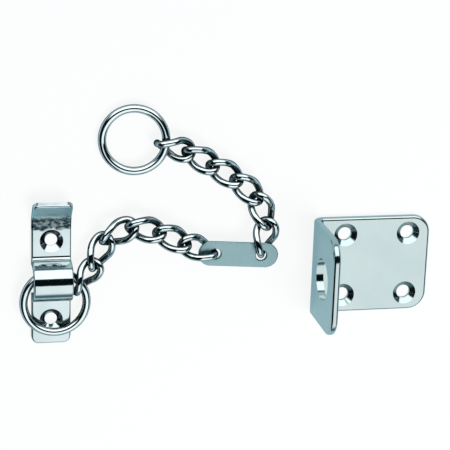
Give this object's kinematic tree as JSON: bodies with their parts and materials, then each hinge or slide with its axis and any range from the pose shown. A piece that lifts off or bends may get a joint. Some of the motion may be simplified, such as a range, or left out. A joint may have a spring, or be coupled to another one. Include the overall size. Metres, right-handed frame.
{
  "type": "door chain",
  "caption": "Plated security door chain: twisted links and a flat tag join a ring held by a screw-on arched strap to a free ring, with a folded angle bracket beside it.",
  "frame": {"origin": "midway between the strap's two screw holes, on the strap's back face", "axes": "+Z out of the mounting surface, +X from the strap towards the bracket, +Y along the strap towards its raised lip"},
  "size_m": [0.1705, 0.0987, 0.036],
  "materials": {
    "strap_plating": "bright polished plating",
    "bracket_plating": "satin bright plating",
    "ring_plating": "bright polished plating",
    "link_plating": "bright polished plating",
    "tag_plating": "satin bright plating"
  },
  "bodies": {
    "fixed_plates": {"frame_strap": "strap_plating", "angle_bracket": "bracket_plating"},
    "strap_ring": {"strap_ring": "ring_plating"},
    "link_01": {"link_01": "link_plating"},
    "link_02": {"link_02": "link_plating"},
    "link_03": {"link_03": "link_plating"},
    "link_04": {"link_04": "link_plating"},
    "link_05": {"link_05": "link_plating"},
    "link_06": {"link_06": "link_plating"},
    "tag_plate": {"tag_plate": "tag_plating"},
    "link_07": {"link_07": "link_plating"},
    "link_08": {"link_08": "link_plating"},
    "link_09": {"link_09": "link_plating"},
    "link_10": {"link_10": "link_plating"},
    "link_11": {"link_11": "link_plating"},
    "link_12": {"link_12": "link_plating"},
    "free_ring": {"free_ring": "ring_plating"}
  },
  "joints": [
    {"name": "strap_ring_swing", "type": "hinge", "parent": "fixed_plates", "child": "strap_ring", "pos_m": [0.0012, -0.0081, 0.00505], "axis": [0, 0, 1], "range_deg": [-15, 4]},
    {"name": "link_01_swing", "type": "hinge", "parent": "strap_ring", "child": "link_01", "pos_m": [0.01169, -0.00102, 0.00505], "axis": [0, 0, -1], "range_deg": [-4, 12]},
    {"name": "link_02_swing", "type": "hinge", "parent": "link_01", "child": "link_02", "pos_m": [0.01683, 0.0069, 0.00505], "axis": [0, 0, 1], "range_deg": [-12, 10]},
    {"name": "link_03_swing", "type": "hinge", "parent": "link_02", "child": "link_03", "pos_m": [0.02118, 0.01766, 0.00474], "axis": [0, 0, -1], "range_deg": [-12, 5]},
    {"name": "link_04_swing", "type": "hinge", "parent": "link_03", "child": "link_04", "pos_m": [0.03142, 0.0231, 0.00578], "axis": [0, 0, 1], "range_deg": [-4, 12]},
    {"name": "link_05_swing", "type": "hinge", "parent": "link_04", "child": "link_05", "pos_m": [0.04272, 0.02049, 0.00685], "axis": [0, 0, -1], "range_deg": [-14, 14]},
    {"name": "link_06_swing", "type": "hinge", "parent": "link_05", "child": "link_06", "pos_m": [0.05306, 0.01523, 0.00724], "axis": [0, 0, 1], "range_deg": [-14, 12]},
    {"name": "tag_plate_swing", "type": "hinge", "parent": "link_06", "child": "tag_plate", "pos_m": [0.06546, 0.01071, 0.00704], "axis": [0, 0, -1], "range_deg": [-15, 15]},
    {"name": "link_07_swing", "type": "hinge", "parent": "tag_plate", "child": "link_07", "pos_m": [0.08465, 0.00957, 0.00704], "axis": [0, 0, 1], "range_deg": [-14, 6]},
    {"name": "link_08_swing", "type": "hinge", "parent": "link_07", "child": "link_08", "pos_m": [0.08694, 0.02257, 0.00704], "axis": [0, 0, -1], "range_deg": [-4, 14]},
    {"name": "link_09_swing", "type": "hinge", "parent": "link_08", "child": "link_09", "pos_m": [0.0826, 0.03333, 0.00618], "axis": [0, 0, 1], "range_deg": [-14, 12]},
    {"name": "link_10_swing", "type": "hinge", "parent": "link_09", "child": "link_10", "pos_m": [0.07398, 0.04109, 0.00547], "axis": [0, 0, -1], "range_deg": [-12, 12]},
    {"name": "link_11_swing", "type": "hinge", "parent": "link_10", "child": "link_11", "pos_m": [0.06403, 0.04706, 0.00516], "axis": [0, 0, 1], "range_deg": [-14, 14]},
    {"name": "link_12_swing", "type": "hinge", "parent": "link_11", "child": "link_12", "pos_m": [0.05399, 0.05286, 0.00513], "axis": [0, 0, -1], "range_deg": [-10, 14]},
    {"name": "free_ring_swing", "type": "hinge", "parent": "link_12", "child": "free_ring", "pos_m": [0.04471, 0.05552, 0.00474], "axis": [0, 0, 1], "range_deg": [-15, 12]}
  ]
}
